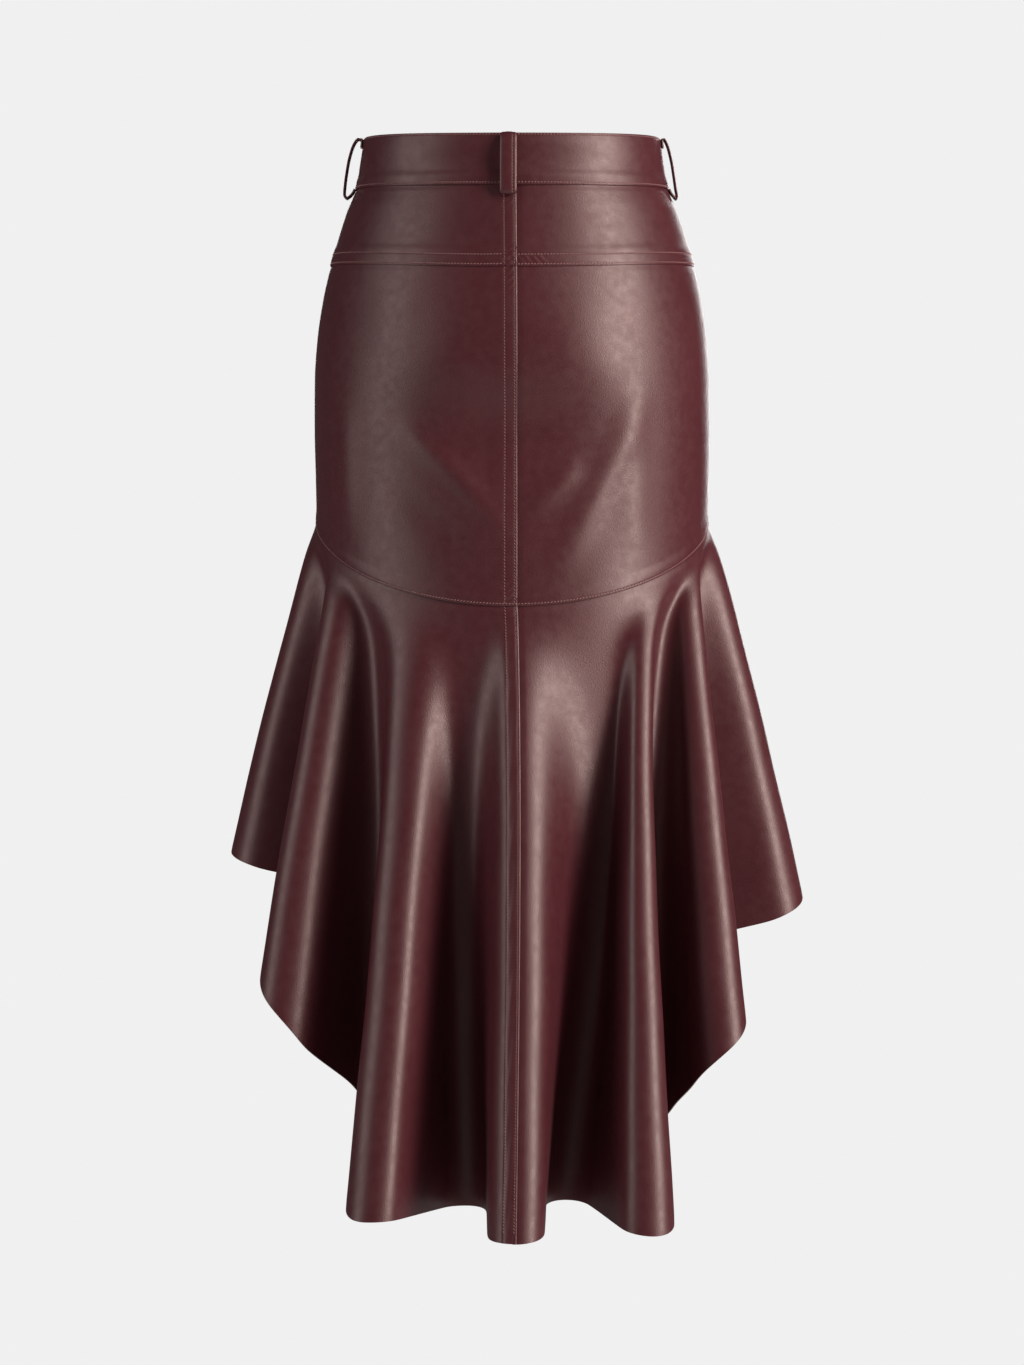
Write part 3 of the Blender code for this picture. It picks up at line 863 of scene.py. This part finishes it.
def belt_loop(name, degrees, stand_off):
    """A belt loop, and the line of its row of stitches with its normals."""
    turn = math.radians(degrees)
    out_at, height_at = loop_line(stand_off)
    steps = np.linspace(0, len(LOOP_LINE) - 1, 90)
    across = np.linspace(-0.5, 0.5, 23)
    heights = np.minimum(height_at(steps), 0) + float(band_top(turn))
    small = 1e-4
    middle = body_point(turn, heights)
    along = unit(body_point(turn + small, heights) - body_point(turn - small, heights))
    rise = body_point(turn, heights + small) - body_point(turn, heights - small)
    out = unit(np.cross(along, rise))
    ends = 1 - ramp(np.minimum(steps, steps[-1] - steps), 0.2, 1.6)
    middle = middle + out * (out_at(steps) + LOOP_OUT - LOOP_END_IN * ends)[:, None]
    middle[:, 2] -= LOOP_DROP
    points = middle[:, None] + along[:, None] * (across * LOOP_WIDTH)[None, :, None]
    if np.sum(grid_normals(points)[LOOP_STITCHED] * out[LOOP_STITCHED, None]) < 0:
        points, across = points[:, ::-1], across[::-1]
    from_edge = (0.5 - np.abs(across)) * LOOP_WIDTH
    relief = -LOOP_EDGE_DEPTH * np.exp(-from_edge / LOOP_EDGE_WIDTH) - LOOP_CROWN * across**2
    relief -= LOOP_GROOVE_DEPTH * bump(across * LOOP_WIDTH, LOOP_STITCHES, LOOP_GROOVE_WIDTH)
    points = points + grid_normals(points) * relief[None, :, None]
    normals = grid_normals(points)
    half = normals * LOOP_WALL / 2
    made = shell(name, points + half, points - half, (LEATHER,))
    column = int(np.argmin(np.abs(across * LOOP_WIDTH - LOOP_STITCHES)))
    lean = normals[LOOP_STITCHED, column]
    line = points[LOOP_STITCHED, column] + lean * (LOOP_WALL / 2 - LOOP_THREAD_SINK)
    return made, (line, lean)


# ---------------------------------------------------------------------------- building the skirt
def sewn(piece, node):
    """Attaches a piece of leather to the root body, which it moves with, and hides the CAD part that
    it stands for.
    """
    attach(piece, "root")
    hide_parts(node)


right, left, front = SIDE_SEAM, 2 * math.pi - SIDE_SEAM, FRONT_SEAM
back, round_to_back = BACK_SEAM, 2 * math.pi + BACK_SEAM
low_right, low_left = FLOUNCE_SIDE_SEAM, 2 * math.pi - FLOUNCE_SIDE_SEAM
panels = {}


def add(panel):
    panels[panel.name] = panel


add(fitted_panel("waistband_back", left - 2 * math.pi, right, band_top, band_bottom,
                 {"start": "butt", "end": "butt", "bottom": "band_lap", "top": "band_top"},
                 band_shape))
add(fitted_panel("waistband_front_right", right, front, band_top, band_bottom,
                 {"start": "butt", "end": "front_lap", "bottom": "band_lap", "top": "band_top"},
                 band_shape))
add(fitted_panel("waistband_front_left", front, left, band_top, band_bottom,
                 {"start": "under", "end": "butt", "bottom": "band_lap", "top": "band_top"},
                 band_shape))
add(fitted_panel("yoke_back_right", back, right, band_bottom, yoke_bottom,
                 {"start": "under", "end": "butt", "bottom": "yoke_lap", "top": "under"},
                 fitted_shape))
add(fitted_panel("yoke_back_left", left, round_to_back, band_bottom, yoke_bottom,
                 {"start": "butt", "end": "back_lap", "bottom": "yoke_lap", "top": "under"},
                 fitted_shape))
add(fitted_panel("body_back_right", back, right, yoke_bottom, flounce_top,
                 {"start": "under", "end": "butt", "bottom": "body_lap", "top": "under"},
                 fitted_shape))
add(fitted_panel("body_back_left", left, round_to_back, yoke_bottom, flounce_top,
                 {"start": "butt", "end": "back_lap", "bottom": "body_lap", "top": "under"},
                 fitted_shape))
add(fitted_panel("body_front_right", right, front, band_bottom, flounce_top,
                 {"start": "butt", "end": "front_lap", "bottom": "body_lap", "top": "under"},
                 fitted_shape))
add(fitted_panel("body_front_left", front, left, band_bottom, flounce_top,
                 {"start": "under", "end": "butt", "bottom": "body_lap", "top": "under"},
                 fitted_shape))
add(flounce_panel("flounce_back_right", back, low_right,
                  {"start": "under", "end": "butt", "bottom": "free", "top": "under"}))
add(flounce_panel("flounce_back_left", low_left, round_to_back,
                  {"start": "butt", "end": "back_lap", "bottom": "free", "top": "under"}))
add(flounce_panel("flounce_front", low_right, low_left,
                  {"start": "butt", "end": "butt", "bottom": "free", "top": "under"}))

# Each panel moves with the root body, and the CAD part that it stands for is hidden
for panel in panels.values():
    sewn(panel.object, panel.name)

# Rows of stitches, each at its distance from the side of the panel that lies on top, and trimmed
# where another seam crosses it
TRIM = 0.0015
STRIP = LAPS["yoke_lap"].width
stitches("stitches_waistband", [
    panels[name].line(side, distance)
    for name in ("waistband_back", "waistband_front_right", "waistband_front_left")
    for side, distance in (("top", LAPS["band_top"].rows[0]), ("bottom", LAPS["band_lap"].rows[0]))
])
stitches("stitches_yoke", [
    panels[name].line("bottom", distance, (0.0, STRIP) if name.endswith("left") else (TRIM, 0.0))
    for name in ("yoke_back_left", "yoke_back_right") for distance in LAPS["yoke_lap"].rows
])
stitches("stitches_centre_back", [
    panels[name].line("end", distance, (TRIM, TRIM))
    for name in ("yoke_back_left", "body_back_left", "flounce_back_left")
    for distance in LAPS["back_lap"].rows
])
stitches("stitches_flounce_seam", [
    panels[name].line("bottom", LAPS["body_lap"].rows[0])
    for name in ("body_back_left", "body_back_right", "body_front_left", "body_front_right")
])
stitches("stitches_centre_front", [
    panels[name].line("end", LAPS["front_lap"].rows[0], (TRIM, TRIM))
    for name in ("waistband_front_right", "body_front_right")
])

loop_lines = []
for loop in LOOPS:
    piece, line = belt_loop(*loop)
    loop_lines.append(line)
    sewn(piece, loop[0])
stitches("stitches_belt_loops", loop_lines)


# --------------------------------------------------------------------------------- light and camera
CENTRE = Vector((0, 0, -0.462))
CAMERA_DISTANCE = 4.5
VIEW_HEIGHT = 1.160
SENSOR_WIDTH = 36

# name, angle from the back view's axis, positive towards the wearer's right (degrees), distance,
# height over the skirt's middle, width, height of the box, power, colour
LIGHTS = (
    ("soft_box_right", 59, 2.2, 0.90, 0.70, 2.6, 104, (1.0, 0.93, 0.89)),
    ("soft_box_left", -64, 2.2, 0.80, 1.10, 2.6, 31, (1.0, 0.95, 0.94)),
    ("soft_box_front", 172, 2.6, 0.90, 2.00, 1.8, 60, (1.0, 1.0, 1.0)),
)
FLOOR_HEIGHT = -1.25
FLOOR_GREY = 0.22
FLOOR_GLOW = 0.50
WORLD_LIGHT = 0.06
WORLD_SEEN = 0.8714


def add_camera():
    data = bpy.data.cameras.new("camera")
    data.sensor_width = SENSOR_WIDTH
    data.lens = SENSOR_WIDTH * CAMERA_DISTANCE / VIEW_HEIGHT
    camera = bpy.data.objects.new("camera", data)
    camera.location = CENTRE + Vector((0, CAMERA_DISTANCE, 0))
    camera.rotation_euler = (math.radians(90), 0, math.radians(180))
    bpy.context.scene.collection.objects.link(camera)
    bpy.context.scene.camera = camera


def add_light(name, degrees, distance, height, width, tall, power, colour):
    """A soft box that points at the middle of the skirt and doesn't show itself."""
    data = bpy.data.lights.new(name, "AREA")
    data.shape = "RECTANGLE"
    data.size, data.size_y = width, tall
    data.energy, data.color = power, colour
    box = bpy.data.objects.new(name, data)
    turn = math.radians(degrees)
    box.location = CENTRE + Vector((-distance * math.sin(turn), distance * math.cos(turn), height))
    box.rotation_euler = (CENTRE - box.location).to_track_quat("-Z", "Y").to_euler()
    box.visible_camera = False
    bpy.context.scene.collection.objects.link(box)


def add_floor():
    """A plain pale floor with a glow of its own, so that it stays even under the soft boxes."""
    pale, _, shader = material("floor", (FLOOR_GREY, FLOOR_GREY, FLOOR_GREY), 0.9)
    shader.inputs["Emission Color"].default_value = (1, 1, 1, 1)
    shader.inputs["Emission Strength"].default_value = FLOOR_GLOW
    plan = ((-2.4, -1.5), (2.4, -1.5), (2.4, 3.0), (-2.4, 3.0))
    corners = np.array([(x, y, FLOOR_HEIGHT) for x, y in plan])
    floor = mesh_object("floor", corners, np.array([[0, 1, 2, 3]]), (pale,), smooth=False)


def add_world():
    """Pale to look at, dim as a light, so that the soft boxes make the leather's highlights."""
    world = bpy.data.worlds.new("studio")
    bpy.context.scene.world = world
    world.use_nodes = True
    tree = world.node_tree
    glow = tree.nodes["Background"]
    glow.inputs["Color"].default_value = (1, 1, 1, 1)
    seen = tree.nodes.new("ShaderNodeLightPath").outputs["Is Camera Ray"]
    strength = remap(tree, seen, 0, 1, WORLD_LIGHT, WORLD_SEEN)
    tree.links.new(strength, glow.inputs["Strength"])


add_camera()
for light in LIGHTS:
    add_light(*light)
add_floor()
add_world()
bpy.context.scene.view_settings.view_transform = "Standard"
